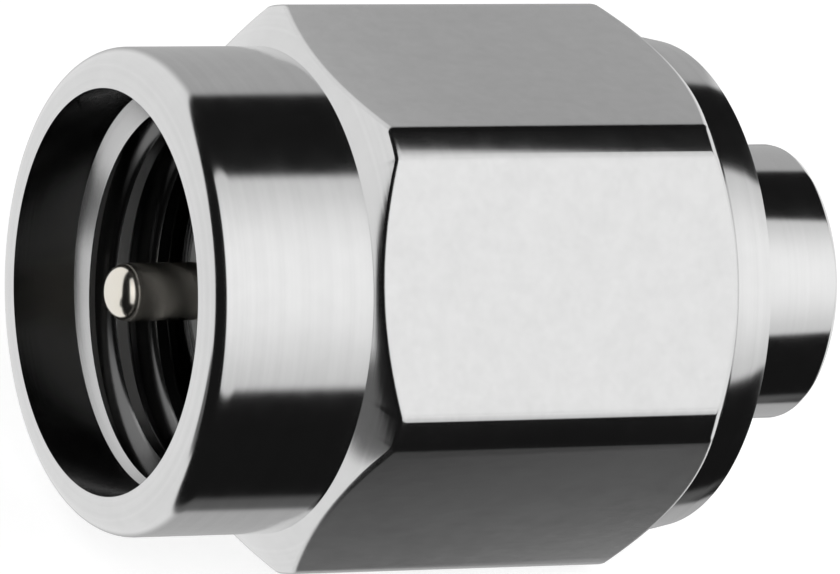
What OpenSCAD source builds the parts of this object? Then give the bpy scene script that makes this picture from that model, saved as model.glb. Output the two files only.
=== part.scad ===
// Straight coaxial plug with a hexagon coupling nut, soldered to semi-rigid cable.
//
// The plug lies along X: the mating plane is x = 0, the pin and the mouth of the nut point to -X,
// and the cable goes in from +X. One flat of the nut faces straight down, and the plug lies on it.
// Every turned piece is drawn as half a section, [radius, x], and revolved about the X axis.
// Radii are built up from the inside out, wall by wall, so a change in one carries the rest along.

/* [Centre contact] */
// Diameter of the pin
pin_d = 0.914; // [0.9:0.002:0.94]
// Length of the pin in front of the mating plane
pin_length = 2.4; // [2.2:0.02:2.54]
// Radius of the rounding at the tip of the pin
pin_nose_r = 0.3; // [0.1:0.02:0.4]
// How much the contact thickens, in radius, behind the mating plane
contact_step = 0.178; // [0.14:0.002:0.22]
// Diameter of the socket for the cable's centre conductor
socket_d = 0.97; // [0.94:0.01:1.02]
// Depth of that socket
socket_depth = 2.0; // [1.5:0.05:2.0]
// Wall of the solder cup round the socket
cup_wall = 0.315; // [0.25:0.005:0.4]
// Length of that cup
cup_length = 2.3; // [2.1:0.1:2.8]

/* [Body] */
// Diameter of the bore for the cable's outer conductor
cable_bore_d = 3.65; // [3.5:0.01:3.75]
// Depth of that bore
cable_bore_depth = 4.1; // [3.6:0.1:4.3]
// Width of the step that the insulator stops on
stop_width = 0.235; // [0.15:0.005:0.3]
// Wall of the tube that makes contact at the mating plane
tube_wall = 0.23; // [0.2:0.005:0.26]
// Length of that tube, from the mating plane to the shank
tube_length = 2.75; // [2.65:0.05:3]
// Depth of the ring groove below the surface of the shank
groove_depth = 0.5; // [0.4:0.02:0.55]
// How far the shoulder behind the nut stands out from the shank
shoulder_step = 0.45; // [0.3:0.05:0.5]
// Length of that shoulder
shoulder_length = 0.2; // [0.15:0.01:0.3]
// Wall of the barrel that the cable is soldered in
barrel_wall = 0.375; // [0.3:0.005:0.6]
// Length of the barrel behind the shoulder
barrel_length = 1.95; // [1.4:0.05:4]
// Width of the chamfer at the end of the barrel
barrel_break = 0.1; // [0.05:0.01:0.15]

/* [Gasket and retaining ring] */
// Width of the gasket, from its bore to its rim
gasket_width = 0.37; // [0.3:0.01:0.45]
// Thickness of the gasket
gasket_thickness = 0.75; // [0.5:0.05:0.9]
// How far the retaining ring stands out from the shank
ring_stand = 0.27; // [0.22:0.01:0.32]
// Thickness of the retaining ring along the axis
ring_thickness = 0.5; // [0.4:0.05:0.6]
// Angle of the gap in the ring
ring_gap = 50; // [30:5:80]

/* [Coupling nut, along the axis] */
// Length of the nut
nut_length = 9.73; // [9.6:0.01:10.4]
// How far the nut reaches in front of the mating plane
nut_reach = 2.5; // [2.4:0.02:2.8]
// Length of the round front, from the rim to the hexagon's chamfer
nose_length = 2.7; // [2:0.05:3.5]
// Length of the chamfer between the round front and the full corners
front_chamfer = 0.38; // [0.3:0.01:0.6]
// Length of the chamfer between the full corners and the rear collar
rear_chamfer = 0.4; // [0.3:0.01:0.6]
// Length of the round collar behind the hexagon
heel_length = 0.61; // [0.4:0.01:0.8]
// Length of the taper at the end of that collar
heel_taper_length = 0.26; // [0.1:0.01:0.35]
// Depth of the counterbore in the mouth of the nut
counterbore_depth = 1.07; // [0.8:0.01:1.2]
// Where the thread ends, behind the mating plane
thread_end = 2.2; // [1.8:0.05:2.4]
// Length of the nut behind its own ring groove
nut_lip = 0.8; // [0.6:0.05:1]
// Length of the nut's bearing in front of that groove
nut_land = 0.6; // [0.4:0.05:0.8]

/* [Coupling nut, across the axis] */
// How far the crests of the 1/4-36 thread lie outside the nut's bearing
thread_step = 0.06; // [0.04:0.01:0.1]
// How far the counterbore lies outside the crests
counterbore_step = 0.32; // [0.28:0.01:0.36]
// How far the clearance behind the thread lies outside the crests
relief_step = 0.39; // [0.34:0.01:0.45]
// Wall of the round front at the counterbore
nose_wall = 0.64; // [0.55:0.01:0.7]
// Radius of the rounded outer edge of the rim
rim_round = 0.42; // [0.2:0.02:0.5]
// How far the flats lie outside the round front
flat_step = 0.18; // [0.14:0.01:0.25]
// How far the turned corners lie outside the round front
corner_step = 0.648; // [0.55:0.002:0.75]
// How far the rear collar lies outside the round front
heel_step = 0.12; // [0.05:0.01:0.16]
// How much the collar's taper takes off its radius
heel_taper = 0.05; // [0.02:0.01:0.1]

/* [Clearances] */
// Radial clearance between the nut and the shank
running_clearance = 0.05; // [0.03:0.01:0.09]
// Radial clearance of pieces that slip into each other
slip_clearance = 0.01; // [0.005:0.005:0.02]
// Axial play of the nut, each way
nut_play = 0.1; // [0.05:0.01:0.15]
// Radial clearance round the retaining ring
ring_clearance = 0.1; // [0.05:0.01:0.15]
// Width of the breaks on turned edges
edge_break = 0.08; // [0.04:0.01:0.1]
// Width of the break at the tip of the contact tube
tip_break = 0.04; // [0.02:0.01:0.06]

/* [Hidden] */
$fn = 96;

// Radii of the contact, the insulator and the body, from the inside out
pin_r = pin_d / 2;
contact_r = pin_r + contact_step;
cup_r = socket_d / 2 + cup_wall;
cable_bore_r = cable_bore_d / 2;
insulator_bore_r = cable_bore_r + stop_width;
insulator_r = insulator_bore_r - slip_clearance;
tube_r = insulator_bore_r + tube_wall;
gasket_inner_r = tube_r + slip_clearance;
gasket_outer_r = gasket_inner_r + gasket_width;
shank_r = gasket_outer_r + edge_break;
groove_floor_r = shank_r - groove_depth;
ring_r = shank_r + ring_stand;
shoulder_r = shank_r + shoulder_step;
barrel_r = cable_bore_r + barrel_wall;

// Radii of the nut, from the inside out; its flats come out 8 mm apart
nut_bore_r = shank_r + running_clearance;
nut_groove_r = ring_r + ring_clearance;
thread_crest_r = nut_bore_r + thread_step;
counterbore_r = thread_crest_r + counterbore_step;
relief_r = thread_crest_r + relief_step;
nose_r = counterbore_r + nose_wall;
half_across_flats = nose_r + flat_step;
corner_r = nose_r + corner_step;
heel_r = nose_r + heel_step;

// The nut along the axis; the countersink at the start of the thread has an included angle of 120 degrees
nut_front = -nut_reach;
nut_rear = nut_front + nut_length;
hex_start = nut_front + nose_length;
hex_end = nut_rear - heel_length;
thread_start = nut_front + counterbore_depth;
countersink = counterbore_step * tan(30);

// The ring lies in two grooves, the body's as wide as the ring and a slip, the nut's wider by its play
nut_groove_end = nut_rear - nut_lip;
ring_end = nut_groove_end - nut_play;
ring_start = ring_end - ring_thickness;
nut_groove_start = ring_start - nut_play;
relief_end = nut_groove_start - nut_land;

// The body along the axis, from the mating plane to the end of the barrel
shoulder_start = nut_rear + nut_play;
barrel_start = shoulder_start + shoulder_length;
body_end = barrel_start + barrel_length;
cable_stop = body_end - cable_bore_depth;
cup_start = cable_stop - cup_length;

// Revolves half a section, drawn as [radius, x], about the X axis
module turned(angle = 360) {
    rotate([0, 90, 0]) rotate_extrude(angle = angle) children();
}

// A quarter of a disc, which rounds a corner of a section
module quarter_disc(radius) {
    intersection() {
        circle(radius);
        square(radius);
    }
}

// The coupling nut: turned from hexagon bar, corners and all, and tapped from the front
module coupling_nut() {
    rim_flat_r = nose_r - rim_round;
    outside = [
        [rim_flat_r, nut_front],
        [rim_flat_r, nut_front + rim_round],
        [nose_r, nut_front + rim_round],
        [nose_r, hex_start],
        [corner_r, hex_start + front_chamfer],
        [corner_r, hex_end - rear_chamfer],
        [heel_r, hex_end],
        [heel_r, nut_rear - heel_taper_length],
        [heel_r - heel_taper, nut_rear]
    ];
    inside = [
        [nut_bore_r + edge_break, nut_rear],
        [nut_bore_r, nut_rear - edge_break],
        [nut_bore_r, nut_groove_end],
        [nut_groove_r, nut_groove_end],
        [nut_groove_r, nut_groove_start],
        [nut_bore_r, nut_groove_start],
        [nut_bore_r, relief_end],
        [relief_r, relief_end - (relief_r - nut_bore_r)],
        [relief_r, thread_end + relief_step],
        [thread_crest_r, thread_end],
        [thread_crest_r, thread_start + countersink],
        [counterbore_r, thread_start],
        [counterbore_r, nut_front]
    ];
    // A hexagon prism whose flats look straight up and down
    prism_overlap = 1;
    color("silver") intersection() {
        turned() {
            polygon(concat(outside, inside));
            translate([rim_flat_r, nut_front + rim_round]) mirror([0, 1]) quarter_disc(rim_round);
        }
        translate([nut_front - prism_overlap, 0, 0]) rotate([0, 90, 0]) rotate([0, 0, 30])
            cylinder(r = half_across_flats / cos(30), h = nut_length + 2 * prism_overlap, $fn = 6);
    }
}

// The body: one turned piece, from the contact tube in front to the solder barrel behind the nut
module body() {
    color("gainsboro") turned() polygon([
        [insulator_bore_r, 0],
        [tube_r - tip_break, 0],
        [tube_r, tip_break],
        [tube_r, tube_length],
        [gasket_outer_r, tube_length],
        [shank_r, tube_length + edge_break],
        [shank_r, ring_start - slip_clearance],
        [groove_floor_r, ring_start - slip_clearance],
        [groove_floor_r, ring_end],
        [shank_r, ring_end],
        [shank_r, shoulder_start],
        [shoulder_r - edge_break, shoulder_start],
        [shoulder_r, shoulder_start + edge_break],
        [shoulder_r, barrel_start - edge_break],
        [shoulder_r - edge_break, barrel_start],
        [barrel_r, barrel_start],
        [barrel_r, body_end - barrel_break],
        [barrel_r - barrel_break, body_end],
        [cable_bore_r + edge_break, body_end],
        [cable_bore_r, body_end - edge_break],
        [cable_bore_r, cable_stop],
        [insulator_bore_r, cable_stop]
    ]);
}

// The retaining ring: a split ring, sprung into the body's groove, that the nut's groove snaps over
module retaining_ring() {
    inner_r = groove_floor_r + slip_clearance;
    color("darkgoldenrod") rotate([ring_gap / 2, 0, 0]) turned(360 - ring_gap)
        translate([inner_r, ring_start]) square([ring_r - inner_r, ring_thickness]);
}

// The gasket: a flat rubber ring round the contact tube, against the shank's front face
module gasket() {
    color("indianred") turned() translate([gasket_inner_r, tube_length - gasket_thickness])
        square([gasket_width, gasket_thickness]);
}

// The insulator: a turned bush, flush with the mating plane, that stops on the step in the body
module insulator() {
    contact_bore_r = contact_r + slip_clearance;
    cup_bore_r = cup_r + slip_clearance;
    color("white") turned() polygon([
        [contact_bore_r, 0],
        [insulator_r - edge_break, 0],
        [insulator_r, edge_break],
        [insulator_r, cable_stop],
        [cup_bore_r, cable_stop],
        [cup_bore_r, cup_start],
        [contact_bore_r, cup_start]
    ]);
}

// The centre contact: pin, shaft and solder cup in one, pushed into the insulator from behind
module centre_contact() {
    nose_flat_r = pin_r - pin_nose_r;
    nose_end = pin_nose_r - pin_length;
    color("gold") turned() difference() {
        union() {
            translate([0, -pin_length]) square([nose_flat_r, pin_nose_r]);
            translate([nose_flat_r, nose_end]) mirror([0, 1]) quarter_disc(pin_nose_r);
            translate([0, nose_end]) square([pin_r, -nose_end]);
            square([contact_r, cup_start]);
            translate([0, cup_start]) square([cup_r, cup_length]);
        }
        translate([0, cable_stop - socket_depth]) square([socket_d / 2, 2 * socket_depth]);
    }
}

coupling_nut();
body();
retaining_ring();
gasket();
insulator();
centre_contact();
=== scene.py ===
import math
import bmesh
import bpy
from mathutils import Matrix, Vector


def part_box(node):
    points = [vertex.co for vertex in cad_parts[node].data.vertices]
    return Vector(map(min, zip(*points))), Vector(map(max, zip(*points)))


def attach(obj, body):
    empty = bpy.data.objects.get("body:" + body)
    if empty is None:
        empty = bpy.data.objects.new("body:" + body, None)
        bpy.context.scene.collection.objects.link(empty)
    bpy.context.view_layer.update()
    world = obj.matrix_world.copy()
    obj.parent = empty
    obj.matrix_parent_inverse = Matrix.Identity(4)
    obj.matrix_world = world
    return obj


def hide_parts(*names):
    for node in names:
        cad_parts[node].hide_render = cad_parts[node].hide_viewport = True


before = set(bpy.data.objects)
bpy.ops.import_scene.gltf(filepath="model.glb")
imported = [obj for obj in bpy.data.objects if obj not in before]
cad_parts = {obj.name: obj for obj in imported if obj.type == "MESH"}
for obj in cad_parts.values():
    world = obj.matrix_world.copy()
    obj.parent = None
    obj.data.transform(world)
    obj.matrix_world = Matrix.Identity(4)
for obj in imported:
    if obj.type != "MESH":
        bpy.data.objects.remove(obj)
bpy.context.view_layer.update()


# ---------------------------------------------------------------- camera
# A long lens looks into the mouth of the nut from the left, square to the upper near flat.
# It is rolled a little, so that the connector's axis rises to the right.
VIEW_FROM_AXIS = 61.5       # degrees between the axis and the line of sight
FLAT_TURN = -0.36           # degrees by which the facing flat looks below the camera
AXIS_RISE = 1.0             # degrees by which the axis rises in the frame
CAMERA_DISTANCE = 0.165     # metres, to the point that the camera aims at
LENS, SENSOR_WIDTH = 447.642857, 36     # millimetres
aim = Vector((0.003085, 0, 0))

axis = Vector((1, 0, 0))
turn = Matrix.Rotation(math.radians(FLAT_TURN), 3, "X")
towards = turn @ Vector((0, -math.cos(math.radians(30)), math.sin(math.radians(30))))
upwards = turn @ Vector((0, math.sin(math.radians(30)), math.cos(math.radians(30))))
slant = math.radians(VIEW_FROM_AXIS)
rise = math.radians(AXIS_RISE)
back = -math.cos(slant) * axis + math.sin(slant) * towards
level = math.sin(slant) * axis + math.cos(slant) * towards
right = math.cos(rise) * level - math.sin(rise) * upwards
up = math.sin(rise) * level + math.cos(rise) * upwards

camera = bpy.data.objects.new("camera", bpy.data.cameras.new("camera"))
bpy.context.scene.collection.objects.link(camera)
camera.data.sensor_width = SENSOR_WIDTH
camera.data.lens = LENS
camera.data.clip_start = 0.001
camera.data.clip_end = 10
camera.location = aim + back * CAMERA_DISTANCE
camera.rotation_mode = "QUATERNION"
camera.rotation_quaternion = Matrix((right, up, back)).transposed().to_quaternion()
bpy.context.scene.camera = camera
bpy.context.scene.view_settings.view_transform = "Standard"


# ---------------------------------------------------------------- studio
# A large soft box stands beside the camera and a white sheet hangs behind the connector, with a
# white card past its rear end and a dark flag low before its mouth. Elsewhere it is dark, which
# draws the black bands in the steel.
BOX_LEFT, BOX_RIGHT = -0.75, 4.0        # edges of the soft box, as slopes from the line towards it
BOX_BOTTOM, BOX_TOP = -1.11, 1.40
SIDE_BLUR, RIGHT_BLUR, BOTTOM_BLUR, TOP_BLUR = 0.05, 0.6, 0.09, 0.13
BOX_LIGHT, BOX_EDGE_LIGHT = 1.12, 0.78
SHEET_LIGHT, SHEET_REAR_LIGHT = 0.92, 0.46
SHEET_SHARE = 0.8                       # of the sheet's light that falls on dull surfaces
SHEET_FACING, SHEET_EDGE = (0.2886, 0.940, -0.1823), (-0.21, -0.27)
FLAG_FACING, FLAG_EDGE, FLAG_DEPTH = (-0.865, -0.02, -0.50), (0.945, 0.972), 0.85
CARD_EDGE, REAR_CARD_EDGE, CARD_LIGHT = (0.74, 0.84), (0.55, 0.68), 0.95
TABLE_NEAR_EDGE, TABLE_TOP_EDGE, TABLE_LIGHT = (-0.34, -0.42), (-0.60, -0.70), 0.11
DARK_LIGHT = 0.010


class Wire:
    """One output of a shader's nodes. Sums and products of wires add Math nodes."""

    def __init__(self, tree, socket=None):
        self.tree, self.socket = tree, socket

    def add(self, kind, settings, inputs, output=0):
        node = self.tree.nodes.new(kind)
        for name, value in settings.items():
            setattr(node, name, value)
        for name, value in inputs.items():
            if isinstance(value, Wire):
                self.tree.links.new(value.socket, node.inputs[name])
            else:
                node.inputs[name].default_value = value
        return Wire(self.tree, node.outputs[output]) if len(node.outputs) else node

    def maths(self, operation, *values):
        return self.add("ShaderNodeMath", {"operation": operation}, dict(enumerate(values)))

    def between(self, low, high, out_low=0.0, out_high=1.0):
        """Rises smoothly from out_low to out_high as this goes from low to high."""
        return self.add("ShaderNodeMapRange", {"interpolation_type": "SMOOTHSTEP"},
                        {"Value": self, "From Min": low, "From Max": high,
                         "To Min": out_low, "To Max": out_high})

    def along(self, direction):
        return self.add("ShaderNodeVectorMath", {"operation": "DOT_PRODUCT"},
                        {0: self, 1: direction}, "Value")

    def __add__(self, other): return self.maths("ADD", self, other)
    def __radd__(self, other): return self.maths("ADD", other, self)
    def __sub__(self, other): return self.maths("SUBTRACT", self, other)
    def __rsub__(self, other): return self.maths("SUBTRACT", other, self)
    def __mul__(self, other): return self.maths("MULTIPLY", self, other)
    def __truediv__(self, other): return self.maths("DIVIDE", self, other)
    def __pow__(self, other): return self.maths("POWER", self, other)
    def __abs__(self): return self.maths("ABSOLUTE", self)


def from_connector(along_axis, along_towards, along_upwards):
    """A direction, given by its parts along the axis, towards the facing flat and up that flat."""
    return along_axis * axis + along_towards * towards + along_upwards * upwards


world = bpy.data.worlds.new("studio")
world.use_nodes = True
world.node_tree.nodes.clear()
bpy.context.scene.world = world
studio = Wire(world.node_tree)
direction = studio.add("ShaderNodeTexCoord", {}, {}, "Generated")
ahead = direction.along(towards)
sideways = direction.along(axis)
over = direction.along(upwards)
reach = ahead.maths("MAXIMUM", ahead, 0.02)
across, height = sideways / reach, over / reach
soft_box = (ahead.between(0.0, 0.05)
            * across.between(BOX_LEFT - SIDE_BLUR, BOX_LEFT + SIDE_BLUR)
            * across.between(BOX_RIGHT + RIGHT_BLUR, BOX_RIGHT)
            * height.between(BOX_BOTTOM - BOTTOM_BLUR, BOX_BOTTOM + BOTTOM_BLUR)
            * height.between(BOX_TOP + TOP_BLUR, BOX_TOP - TOP_BLUR))
middle = abs(height - 0.1).between(1.1, 0.1, BOX_EDGE_LIGHT, BOX_LIGHT)
sheet = direction.along(from_connector(*SHEET_FACING)).between(*SHEET_EDGE)
sheet_light = sideways.between(0.05, 0.45, SHEET_LIGHT, SHEET_REAR_LIGHT)
flag = direction.along(from_connector(*FLAG_FACING)).between(*FLAG_EDGE)
card = sideways.between(*CARD_EDGE) * (1 - soft_box) * (1 - sheet)
rear_card = sideways.between(*REAR_CARD_EDGE) * CARD_LIGHT
table = ahead.between(*TABLE_NEAR_EDGE) * over.between(*TABLE_TOP_EDGE) * (1 - sheet) * TABLE_LIGHT
backdrop = sheet * sheet_light.maths("MAXIMUM", sheet_light, rear_card) * (1 - flag * FLAG_DEPTH)
room = soft_box * middle + card * CARD_LIGHT + table + DARK_LIGHT

# The camera sees white all round. Metal and glass see the sheet at its full brightness.
camera_ray, glossy_ray, clear_ray = (
    studio.add("ShaderNodeLightPath", {}, {}, name)
    for name in ("Is Camera Ray", "Is Glossy Ray", "Is Transmission Ray"))
mirrored = glossy_ray.maths("MAXIMUM", glossy_ray, clear_ray)
light = room + backdrop * (SHEET_SHARE + mirrored * (1 - SHEET_SHARE))
strength = light + camera_ray * (1 - light)
sky = studio.add("ShaderNodeBackground", {}, {"Color": (1, 1, 1, 1), "Strength": strength})
studio.add("ShaderNodeOutputWorld", {}, {"Surface": sky})


# ---------------------------------------------------------------- floor
# A plain pale table top, on which the connector lies on one flat of its nut.
# It is white to the camera but for the connector's soft shadow, and steel looks past it.
FLOOR_SIZE = 0.4
FLOOR_GLOW = 0.80

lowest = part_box("coupling_nut")[0].z
shape = bmesh.new()
bmesh.ops.create_grid(shape, x_segments=1, y_segments=1, size=FLOOR_SIZE)
bmesh.ops.translate(shape, verts=shape.verts, vec=(0, 0, lowest))
mesh = bpy.data.meshes.new("floor")
shape.to_mesh(mesh)
shape.free()
floor = bpy.data.objects.new("floor", mesh)
bpy.context.scene.collection.objects.link(floor)


def blank_material(name):
    """A material with no nodes yet, and the wires to make them with."""
    material = bpy.data.materials.new(name)
    material.use_nodes = True
    material.node_tree.nodes.clear()
    return material, Wire(material.node_tree)


material, top = blank_material("table_top")
seen = top.add("ShaderNodeLightPath", {}, {}, "Is Camera Ray")
mirrored = top.add("ShaderNodeLightPath", {}, {}, "Is Glossy Ray")
paint = top.add("ShaderNodeBsdfDiffuse", {}, {"Color": (0.5, 0.5, 0.5, 1)})
glow = top.add("ShaderNodeEmission", {}, {"Color": (1, 1, 1, 1), "Strength": seen * FLOOR_GLOW})
solid = top.add("ShaderNodeAddShader", {}, {0: paint, 1: glow})
clear = top.add("ShaderNodeBsdfTransparent", {}, {})
surface = top.add("ShaderNodeMixShader", {}, {0: mirrored, 1: solid, 2: clear})
top.add("ShaderNodeOutputMaterial", {}, {"Surface": surface})
floor.data.materials.append(material)


# ---------------------------------------------------------------- coupling nut
# Passivated stainless steel, turned from 8 mm hexagon bar: the round nose, the chamfers and the
# collar are turned, the flats are the bar's own, and the 1/4-36 thread is cut from the mouth.
NOSE_RADIUS, RIM_ROUND = 3.82, 0.42
MOUTH_RADIUS, MOUTH_DEPTH = 3.18, 1.07
CREST_RADIUS, ROOT_RADIUS, PITCH = 2.86, 3.175, 25.4 / 36
COUNTERSINK, CREST_ROUND = 0.185, 0.06
THREAD_END, RELIEF_RADIUS, RELIEF_END = 2.2, 3.25, 5.13
BEARING_RADIUS, GROOVE_RADIUS, GROOVE = 2.80, 3.12, (5.73, 6.43)
HEXAGON = (0.2, 6.62)
FRONT_CHAMFER, REAR_CHAMFER = 0.38, 0.40
CORNER_RADIUS, COLLAR_RADIUS, COLLAR_TAPER = 4.468, 3.94, (0.26, 0.05)
EDGE_ROUND, EDGE_ANGLE = 0.09, 14       # millimetres; edges that turn by more degrees are rounded
CORNER_MERGE = 0.03                     # points this close on the hexagon's cuts become one
TURNING_STEPS = 300

nut_low, nut_high = (corner * 1000 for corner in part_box("coupling_nut"))
half_flats = -nut_low.z
rim, rear = nut_low.x, nut_high.x


def turn_profile(profile, steps=TURNING_STEPS, angle=360, closed=True):
    """Spins a section, given as (radius, x) in millimetres, about the connector's axis."""
    shape = bmesh.new()
    ends = [shape.verts.new((x, 0, radius)) for radius, x in profile]
    edges = [shape.edges.new(pair) for pair in zip(ends, ends[1:])]
    if closed:
        edges.append(shape.edges.new((ends[-1], ends[0])))
    bmesh.ops.spin(shape, geom=ends + edges, cent=(0, 0, 0), axis=(1, 0, 0),
                   angle=math.radians(angle), steps=steps, use_merge=angle == 360)
    bmesh.ops.remove_doubles(shape, verts=shape.verts, dist=1e-5)
    bmesh.ops.recalc_face_normals(shape, faces=shape.faces)
    return shape


def ring_edges(shape, radius, x):
    """The edges of the circle of that radius at that place on the axis."""
    def on(vert):
        return abs(vert.co.yz.length - radius) < 2e-3 and abs(vert.co.x - x) < 2e-3
    return [edge for edge in shape.edges if on(edge.verts[0]) and on(edge.verts[1])]


def round_edges(shape, edges, width, segments=3):
    return bmesh.ops.bevel(shape, geom=edges, offset=width, offset_type="OFFSET", segments=segments,
                           profile=0.5, affect="EDGES", material=-1, clamp_overlap=True)


def finish(shape, name, sharp=30):
    """Makes an object of a shape drawn in millimetres, smooth but for its sharp edges."""
    bmesh.ops.scale(shape, vec=(0.001, 0.001, 0.001), verts=shape.verts)
    for face in shape.faces:
        face.smooth = True
    mesh = bpy.data.meshes.new(name)
    shape.to_mesh(mesh)
    shape.free()
    mesh.set_sharp_from_angle(angle=math.radians(sharp))
    piece = bpy.data.objects.new(name, mesh)
    bpy.context.scene.collection.objects.link(piece)
    return piece


BORE_PAINTED_SHADE, CREST_PAINTED_HIGHLIGHT = 0.26, 0.50    # painted shade in the bore and painted highlight on the thread's crests, as parts of the steel's own brightness
# Painted highlights: how far the crests' highlight fades, and where the full-bright ring on the
# lead-in cone fades in and out, from the end of the mouth
CREST_HIGHLIGHT_FADE, COUNTERSINK_HIGHLIGHT_FADE = 0.04, (-0.01, 0.0, 0.19, 0.22)
MARK_HEIGHT = 0.9e-6                    # metres, of the tool's marks
SUPPORT = 0.03      # a ring this close to a rounding keeps the long faces beside it true
nut = turn_profile([
    (MOUTH_RADIUS, rim),
    (NOSE_RADIUS - RIM_ROUND - SUPPORT, rim),
    (NOSE_RADIUS, rim),
    (NOSE_RADIUS, rim + RIM_ROUND + SUPPORT),
    (NOSE_RADIUS, HEXAGON[0]),
    (CORNER_RADIUS, HEXAGON[0] + FRONT_CHAMFER),
    (CORNER_RADIUS, HEXAGON[1] - REAR_CHAMFER),
    (COLLAR_RADIUS, HEXAGON[1]),
    (COLLAR_RADIUS, rear - COLLAR_TAPER[0]),
    (COLLAR_RADIUS - COLLAR_TAPER[1], rear),
    (BEARING_RADIUS + 0.08, rear),
    (BEARING_RADIUS, rear - 0.08),
    (BEARING_RADIUS, GROOVE[1]),
    (GROOVE_RADIUS, GROOVE[1]),
    (GROOVE_RADIUS, GROOVE[0]),
    (BEARING_RADIUS, GROOVE[0]),
    (BEARING_RADIUS, RELIEF_END),
    (RELIEF_RADIUS, RELIEF_END - (RELIEF_RADIUS - BEARING_RADIUS)),
    (RELIEF_RADIUS, THREAD_END + (RELIEF_RADIUS - CREST_RADIUS)),
    (CREST_RADIUS, THREAD_END),
    (CREST_RADIUS, rim + MOUTH_DEPTH + COUNTERSINK),
    (MOUTH_RADIUS, rim + MOUTH_DEPTH),
])
round_edges(nut, ring_edges(nut, NOSE_RADIUS, rim), RIM_ROUND, 12)

# The six flats: each plane takes off a slice of the turned corners, and one face closes its cut
flats = []
for side in range(6):
    facing = Matrix.Rotation(math.radians(60 * side), 3, "X") @ Vector((0, 0, 1))
    cut = bmesh.ops.bisect_plane(nut, geom=nut.verts[:] + nut.edges[:] + nut.faces[:], dist=1e-6,
                                 plane_co=facing * half_flats, plane_no=facing, clear_outer=True)
    loop = [part for part in cut["geom_cut"] if isinstance(part, bmesh.types.BMEdge)]
    flats += bmesh.ops.edgeloop_fill(nut, edges=loop)["faces"]
for face in flats:
    face.material_index = 1
near = [vert for vert in nut.verts if vert.co.yz.length > half_flats - 1e-3]
bmesh.ops.remove_doubles(nut, verts=near, dist=CORNER_MERGE)
hexagon_edges = [edge for edge in nut.edges if len(edge.link_faces) == 2
                 and min(vert.co.yz.length for vert in edge.verts) > half_flats - 1e-3
                 and edge.calc_face_angle() > math.radians(EDGE_ANGLE)]
round_edges(nut, hexagon_edges, EDGE_ROUND)
bmesh.ops.recalc_face_normals(nut, faces=nut.faces)

# The thread: a V tool on a right-hand helix, run in through the mouth and out into the relief
TOOL_STEPS = 96
tool_start, tool_end = rim + MOUTH_DEPTH - 0.5 - PITCH / 2, THREAD_END + 0.75
tool_turns = (tool_end - tool_start) / PITCH
root_half, tool_inner = PITCH / 16, CREST_RADIUS - 0.10
flank = math.tan(math.radians(30))
crest_half = root_half + (ROOT_RADIUS - CREST_RADIUS) * flank
right_half = [(ROOT_RADIUS, root_half),
              (CREST_RADIUS + CREST_ROUND, crest_half - CREST_ROUND * flank),
              (CREST_RADIUS + 0.3 * CREST_ROUND, crest_half + 0.12 * CREST_ROUND),
              (CREST_RADIUS, crest_half + 0.6 * CREST_ROUND),
              (tool_inner, crest_half + 0.6 * CREST_ROUND)]
tool = bmesh.new()
corners = [tool.verts.new((tool_start + x, 0, radius)) for radius, x in
           right_half + [(radius, -x) for radius, x in reversed(right_half)]]
edges = [tool.edges.new((corners[i - 1], corners[i])) for i in range(len(corners))]
steps = round(TOOL_STEPS * tool_turns)
bmesh.ops.spin(tool, geom=corners + edges, cent=(0, 0, 0), axis=(1, 0, 0),
               dvec=(PITCH * tool_turns / steps, 0, 0), angle=math.radians(360 * tool_turns),
               steps=steps)
tool_ends = [edge for edge in tool.edges if edge.is_boundary]
bmesh.ops.holes_fill(tool, edges=tool_ends, sides=len(corners))
bmesh.ops.recalc_face_normals(tool, faces=tool.faces)

blank, cutter = (bpy.data.objects.new(name, bpy.data.meshes.new(name))
                 for name in ("nut_blank", "thread_tool"))
for thing, shape in ((blank, nut), (cutter, tool)):
    shape.to_mesh(thing.data)
    shape.free()
    bpy.context.scene.collection.objects.link(thing)
cutting = blank.modifiers.new("thread", "BOOLEAN")
cutting.operation, cutting.solver, cutting.object = "DIFFERENCE", "EXACT", cutter
evaluated = blank.evaluated_get(bpy.context.evaluated_depsgraph_get())
cut_mesh = bpy.data.meshes.new_from_object(evaluated)
for thing in (blank, cutter):
    mesh = thing.data
    bpy.data.objects.remove(thing)
    bpy.data.meshes.remove(mesh)
shape = bmesh.new()
shape.from_mesh(cut_mesh)
bpy.data.meshes.remove(cut_mesh)
# The faces inside the nut, which are left as the tools cut them; their steel is darkened with
# painted shade
for face in shape.faces:
    spot = face.calc_center_median()
    if spot.yz.length < RELIEF_RADIUS + 1e-3 and rim + 1e-3 < spot.x < rear - 1e-3:
        face.material_index = 2
coupling_nut = finish(shape, "coupling_nut_turned")


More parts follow.
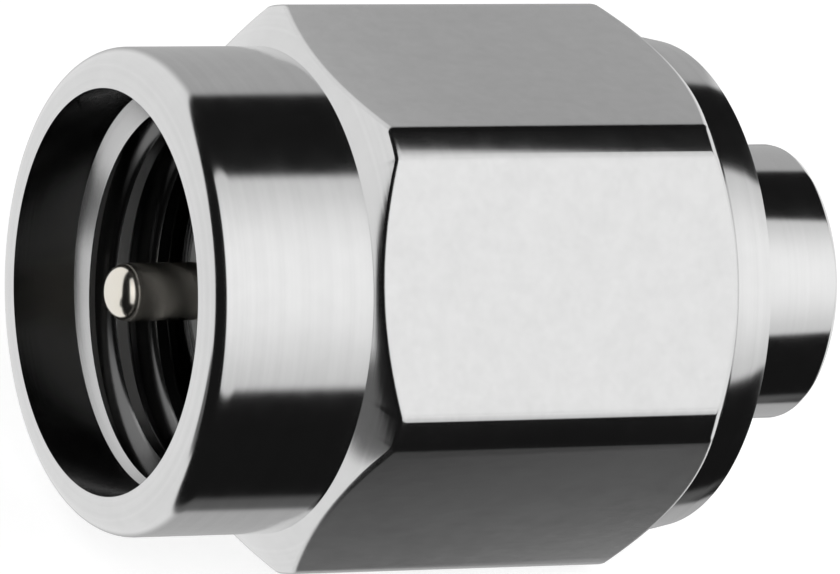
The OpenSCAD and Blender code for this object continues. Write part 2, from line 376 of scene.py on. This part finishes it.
def steel(name, colour, roughness, turned=True, bore=False, streaks=0.10, grain=0.05):
    """Stainless steel. Turned faces carry the tool's fine rings, drawn faces an even grain.
    In a bore the steel is darkened with painted shade, with painted highlights on the thread's
    crests and on the lead-in cone at the mouth."""
    material, metal = blank_material(name)
    place = metal.add("ShaderNodeTexCoord", {}, {}, "Object")
    if turned:
        x, y, z = (place.along(unit) for unit in ((1, 0, 0), (0, 1, 0), (0, 0, 1)))
        radius = (y * y + z * z) ** 0.5
        rings = metal.add("ShaderNodeCombineXYZ", {}, {"X": x, "Y": radius, "Z": 0.0})
        fine = metal.add("ShaderNodeTexNoise", {}, {"Vector": rings, "Scale": 9000.0, "Detail": 3.0,
                                                    "Roughness": 0.6})
        mottle = metal.add("ShaderNodeTexNoise", {}, {"Vector": place, "Scale": 2600.0,
                                                      "Detail": 2.0})
        marks = fine * 0.8 + mottle * 0.2
    else:
        marks = metal.add("ShaderNodeTexNoise", {}, {"Vector": place, "Scale": 5200.0,
                                                     "Detail": 3.0, "Roughness": 0.65})
        mottle = metal.add("ShaderNodeTexNoise", {}, {"Vector": place, "Scale": 2200.0,
                                                      "Detail": 2.0})
    shade = 1 - streaks / 2 - grain / 2 + marks * streaks + mottle * grain
    # Painted shade darkens the bore; painted highlights lighten the thread's crests and bring the
    # lead-in cone at the mouth back to full brightness
    if bore:
        crest_highlight = radius.between((CREST_RADIUS + CREST_HIGHLIGHT_FADE) / 1000, CREST_RADIUS / 1000,
                               BORE_PAINTED_SHADE, CREST_PAINTED_HIGHLIGHT)
        dark, bright, still_bright, dark_again = (
            (rim + MOUTH_DEPTH + fade) / 1000 for fade in COUNTERSINK_HIGHLIGHT_FADE)
        countersink_highlight = x.between(dark, bright) * x.between(dark_again, still_bright)
        shade = shade * crest_highlight.maths("MAXIMUM", crest_highlight, countersink_highlight)
    tint = metal.add("ShaderNodeVectorMath", {"operation": "SCALE"}, {0: colour, "Scale": shade})
    bump = metal.add("ShaderNodeBump", {}, {
        "Height": marks, "Distance": MARK_HEIGHT, "Strength": 1.0})
    surface = metal.add("ShaderNodeBsdfPrincipled", {}, {
        "Base Color": tint, "Metallic": 1.0, "Roughness": roughness - 0.03 + mottle * 0.06,
        "Normal": bump})
    metal.add("ShaderNodeOutputMaterial", {}, {"Surface": surface})
    return material


for finish_or_painted_shade in (
        steel("turned_steel", (0.70, 0.70, 0.70), 0.12, streaks=0.16),
        steel("drawn_steel", (0.68, 0.68, 0.68), 0.20, turned=False, grain=0.10),
        # The bore's steel is darkened with painted shade and carries painted highlights on the
        # crests and the lead-in cone
        steel("bore_steel_painted_shade", (0.62, 0.62, 0.62), 0.20, bore=True)):
    coupling_nut.data.materials.append(finish_or_painted_shade)
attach(coupling_nut, "nut")
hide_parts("coupling_nut")


# ---------------------------------------------------------------- body
# Passivated stainless steel, turned in one piece: the contact tube at the mating plane, the shank
# that the nut turns on, a shoulder behind the nut, and the barrel that the cable is soldered in.
TUBE_RADIUS, TUBE_LENGTH, TUBE_BORE = 2.29, 2.75, 2.06
SHANK_RADIUS, SHOULDER_RADIUS, SHOULDER_LENGTH = 2.75, 3.20, 0.20
RING_FLOOR_RADIUS, RING_SEAT = 2.25, (5.82, 6.33)
BARREL_RADIUS, BARREL_LENGTH, CABLE_BORE, CABLE_DEPTH = 2.20, 1.95, 1.825, 4.1

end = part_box("body")[1].x * 1000
shoulder = end - BARREL_LENGTH - SHOULDER_LENGTH
shape = turn_profile([
    (TUBE_BORE, 0), (TUBE_RADIUS, 0), (TUBE_RADIUS, TUBE_LENGTH),
    (SHANK_RADIUS, TUBE_LENGTH), (SHANK_RADIUS, RING_SEAT[0]), (RING_FLOOR_RADIUS, RING_SEAT[0]),
    (RING_FLOOR_RADIUS, RING_SEAT[1]), (SHANK_RADIUS, RING_SEAT[1]), (SHANK_RADIUS, shoulder),
    (SHOULDER_RADIUS, shoulder), (SHOULDER_RADIUS, shoulder + SHOULDER_LENGTH),
    (BARREL_RADIUS, shoulder + SHOULDER_LENGTH), (BARREL_RADIUS, end), (CABLE_BORE, end),
    (CABLE_BORE, end - CABLE_DEPTH), (TUBE_BORE, end - CABLE_DEPTH)], steps=192)
round_edges(shape, ring_edges(shape, TUBE_RADIUS, 0), 0.04, 2)
round_edges(shape, ring_edges(shape, SHANK_RADIUS, TUBE_LENGTH), 0.08, 2)
for x in (shoulder, shoulder + SHOULDER_LENGTH):
    round_edges(shape, ring_edges(shape, SHOULDER_RADIUS, x), 0.05, 2)
round_edges(shape, ring_edges(shape, BARREL_RADIUS, end), 0.10, 4)
round_edges(shape, ring_edges(shape, CABLE_BORE, end), 0.06, 2)
body = finish(shape, "body_turned")
body.data.materials.append(steel("body_steel", (0.72, 0.72, 0.72), 0.12))
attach(body, "connector")
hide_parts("body")


# ---------------------------------------------------------------- insulator
# White PTFE, turned from rod: a bush that is flush with the mating plane and holds the contact.
# It stops on the step in the body and is stepped inside for the contact's solder cup.
CONTACT_RADIUS, CUP_RADIUS, SLIP = 0.635, 0.80, 0.01

stop, bush_radius = (v * 1000 for v in (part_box("insulator")[1].x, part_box("insulator")[1].z))
cup_start = stop - 2.3
shape = turn_profile([
    (CONTACT_RADIUS + SLIP, 0), (bush_radius, 0), (bush_radius, stop), (CUP_RADIUS + SLIP, stop),
    (CUP_RADIUS + SLIP, cup_start), (CONTACT_RADIUS + SLIP, cup_start)], steps=128)
round_edges(shape, ring_edges(shape, bush_radius, 0), 0.08, 2)
insulator = finish(shape, "insulator_turned")

material, plastic = blank_material("ptfe")
place = plastic.add("ShaderNodeTexCoord", {}, {}, "Object")
y, z = place.along((0, 1, 0)), place.along((0, 0, 1))
radius = (y * y + z * z) ** 0.5
rings = plastic.add("ShaderNodeCombineXYZ", {}, {
    "X": radius, "Y": place.along((1, 0, 0)), "Z": 0.0})
marks = plastic.add("ShaderNodeTexNoise", {}, {"Vector": rings, "Scale": 8000.0, "Detail": 2.0})
cloud = plastic.add("ShaderNodeTexNoise", {}, {"Vector": place, "Scale": 900.0, "Detail": 2.0})
tint = plastic.add("ShaderNodeVectorMath", {"operation": "SCALE"},
                   {0: (0.80, 0.80, 0.79), "Scale": 0.97 + cloud * 0.05})
bump = plastic.add("ShaderNodeBump", {}, {"Height": marks, "Distance": 1.5e-6, "Strength": 1.0})
surface = plastic.add("ShaderNodeBsdfPrincipled", {}, {
    "Base Color": tint, "Roughness": 0.46 + cloud * 0.08, "Subsurface Weight": 0.15,
    "Subsurface Radius": (0.0004, 0.0004, 0.0004), "Subsurface Scale": 1.0, "Normal": bump})
plastic.add("ShaderNodeOutputMaterial", {}, {"Surface": surface})
insulator.data.materials.append(material)
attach(insulator, "connector")
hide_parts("insulator")


# ---------------------------------------------------------------- centre contact
# Brass, turned and plated: the pin with its rounded tip, the thicker shaft in the insulator,
# and the solder cup at the rear for the cable's centre conductor.
PIN_RADIUS, PIN_NOSE, SOCKET_RADIUS, SOCKET_DEPTH = 0.457, 0.30, 0.485, 2.0

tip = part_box("centre_contact")[0].x * 1000
shape = turn_profile([
    (0, tip), (PIN_RADIUS, tip), (PIN_RADIUS, tip + PIN_NOSE + SUPPORT), (PIN_RADIUS, 0),
    (CONTACT_RADIUS, 0), (CONTACT_RADIUS, cup_start), (CUP_RADIUS, cup_start), (CUP_RADIUS, stop),
    (SOCKET_RADIUS, stop), (SOCKET_RADIUS, stop - SOCKET_DEPTH), (0, stop - SOCKET_DEPTH)],
    steps=96, closed=False)
round_edges(shape, ring_edges(shape, PIN_RADIUS, tip), PIN_NOSE, 10)
contact = finish(shape, "centre_contact_turned")

material, plating = blank_material("plated_contact")
place = plating.add("ShaderNodeTexCoord", {}, {}, "Object")
rings = plating.add("ShaderNodeCombineXYZ", {}, {"X": place.along((1, 0, 0)), "Y": 0.0, "Z": 0.0})
marks = plating.add("ShaderNodeTexNoise", {}, {"Vector": rings, "Scale": 14000.0, "Detail": 2.0})
wear = plating.add("ShaderNodeTexNoise", {}, {"Vector": place, "Scale": 1500.0, "Detail": 3.0})
tint = plating.add("ShaderNodeVectorMath", {"operation": "SCALE"},
                   {0: (0.82, 0.78, 0.70), "Scale": 0.95 + wear * 0.08})
bump = plating.add("ShaderNodeBump", {}, {"Height": marks, "Distance": 0.5e-6, "Strength": 1.0})
surface = plating.add("ShaderNodeBsdfPrincipled", {}, {
    "Base Color": tint, "Metallic": 1.0, "Roughness": 0.14 + wear * 0.08, "Normal": bump})
plating.add("ShaderNodeOutputMaterial", {}, {"Surface": surface})
contact.data.materials.append(material)
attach(contact, "connector")
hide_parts("centre_contact")


# ---------------------------------------------------------------- gasket
# Red-brown silicone rubber, cut as a flat ring: it lies round the contact tube against the shank.
# The rim of the mating jack presses on it.
gasket_low, gasket_high = (corner * 1000 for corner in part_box("gasket"))
GASKET_BORE = TUBE_RADIUS + SLIP
shape = turn_profile([
    (GASKET_BORE, gasket_low.x), (gasket_high.z, gasket_low.x), (gasket_high.z, gasket_high.x),
    (GASKET_BORE, gasket_high.x)], steps=128)
for radius in (GASKET_BORE, gasket_high.z):
    round_edges(shape, ring_edges(shape, radius, gasket_low.x), 0.06, 3)
gasket = finish(shape, "gasket_ring")

material, rubber = blank_material("silicone_rubber")
place = rubber.add("ShaderNodeTexCoord", {}, {}, "Object")
skin = rubber.add("ShaderNodeTexNoise", {}, {"Vector": place, "Scale": 12000.0, "Detail": 3.0})
cloud = rubber.add("ShaderNodeTexNoise", {}, {"Vector": place, "Scale": 1200.0, "Detail": 2.0})
tint = rubber.add("ShaderNodeVectorMath", {"operation": "SCALE"},
                  {0: (0.50, 0.15, 0.09), "Scale": 0.85 + cloud * 0.3})
bump = rubber.add("ShaderNodeBump", {}, {"Height": skin, "Distance": 3e-6, "Strength": 1.0})
surface = rubber.add("ShaderNodeBsdfPrincipled", {}, {
    "Base Color": tint, "Roughness": 0.6 + cloud * 0.15, "Normal": bump})
rubber.add("ShaderNodeOutputMaterial", {}, {"Surface": surface})
gasket.data.materials.append(material)
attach(gasket, "connector")
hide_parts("gasket")


# ---------------------------------------------------------------- retaining ring
# Beryllium copper, a split ring of square wire that is sprung into the body's groove.
# The nut's own groove snaps over it, so the nut turns but can't come off.
RING_RADIUS, RING_GAP = 3.02, 50
ring_low, ring_high = (corner * 1000 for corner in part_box("retaining_ring"))
shape = turn_profile([
    (RING_FLOOR_RADIUS + SLIP, ring_low.x), (RING_RADIUS, ring_low.x), (RING_RADIUS, ring_high.x),
    (RING_FLOOR_RADIUS + SLIP, ring_high.x)], steps=96, angle=360 - RING_GAP)
bmesh.ops.holes_fill(shape, edges=[edge for edge in shape.edges if edge.is_boundary], sides=4)
bmesh.ops.recalc_face_normals(shape, faces=shape.faces)
corner_edges = [edge for edge in shape.edges if edge.calc_face_angle() > math.radians(60)]
round_edges(shape, corner_edges, 0.04, 2)
retaining_ring = finish(shape, "retaining_ring_sprung")

material, copper = blank_material("beryllium_copper")
place = copper.add("ShaderNodeTexCoord", {}, {}, "Object")
grain = copper.add("ShaderNodeTexNoise", {}, {"Vector": place, "Scale": 4000.0, "Detail": 3.0})
tint = copper.add("ShaderNodeVectorMath", {"operation": "SCALE"},
                  {0: (0.72, 0.50, 0.30), "Scale": 0.85 + grain * 0.25})
bump = copper.add("ShaderNodeBump", {}, {"Height": grain, "Distance": 1e-6, "Strength": 1.0})
surface = copper.add("ShaderNodeBsdfPrincipled", {}, {
    "Base Color": tint, "Metallic": 1.0, "Roughness": 0.25 + grain * 0.15, "Normal": bump})
copper.add("ShaderNodeOutputMaterial", {}, {"Surface": surface})
retaining_ring.data.materials.append(material)
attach(retaining_ring, "connector")
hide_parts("retaining_ring")
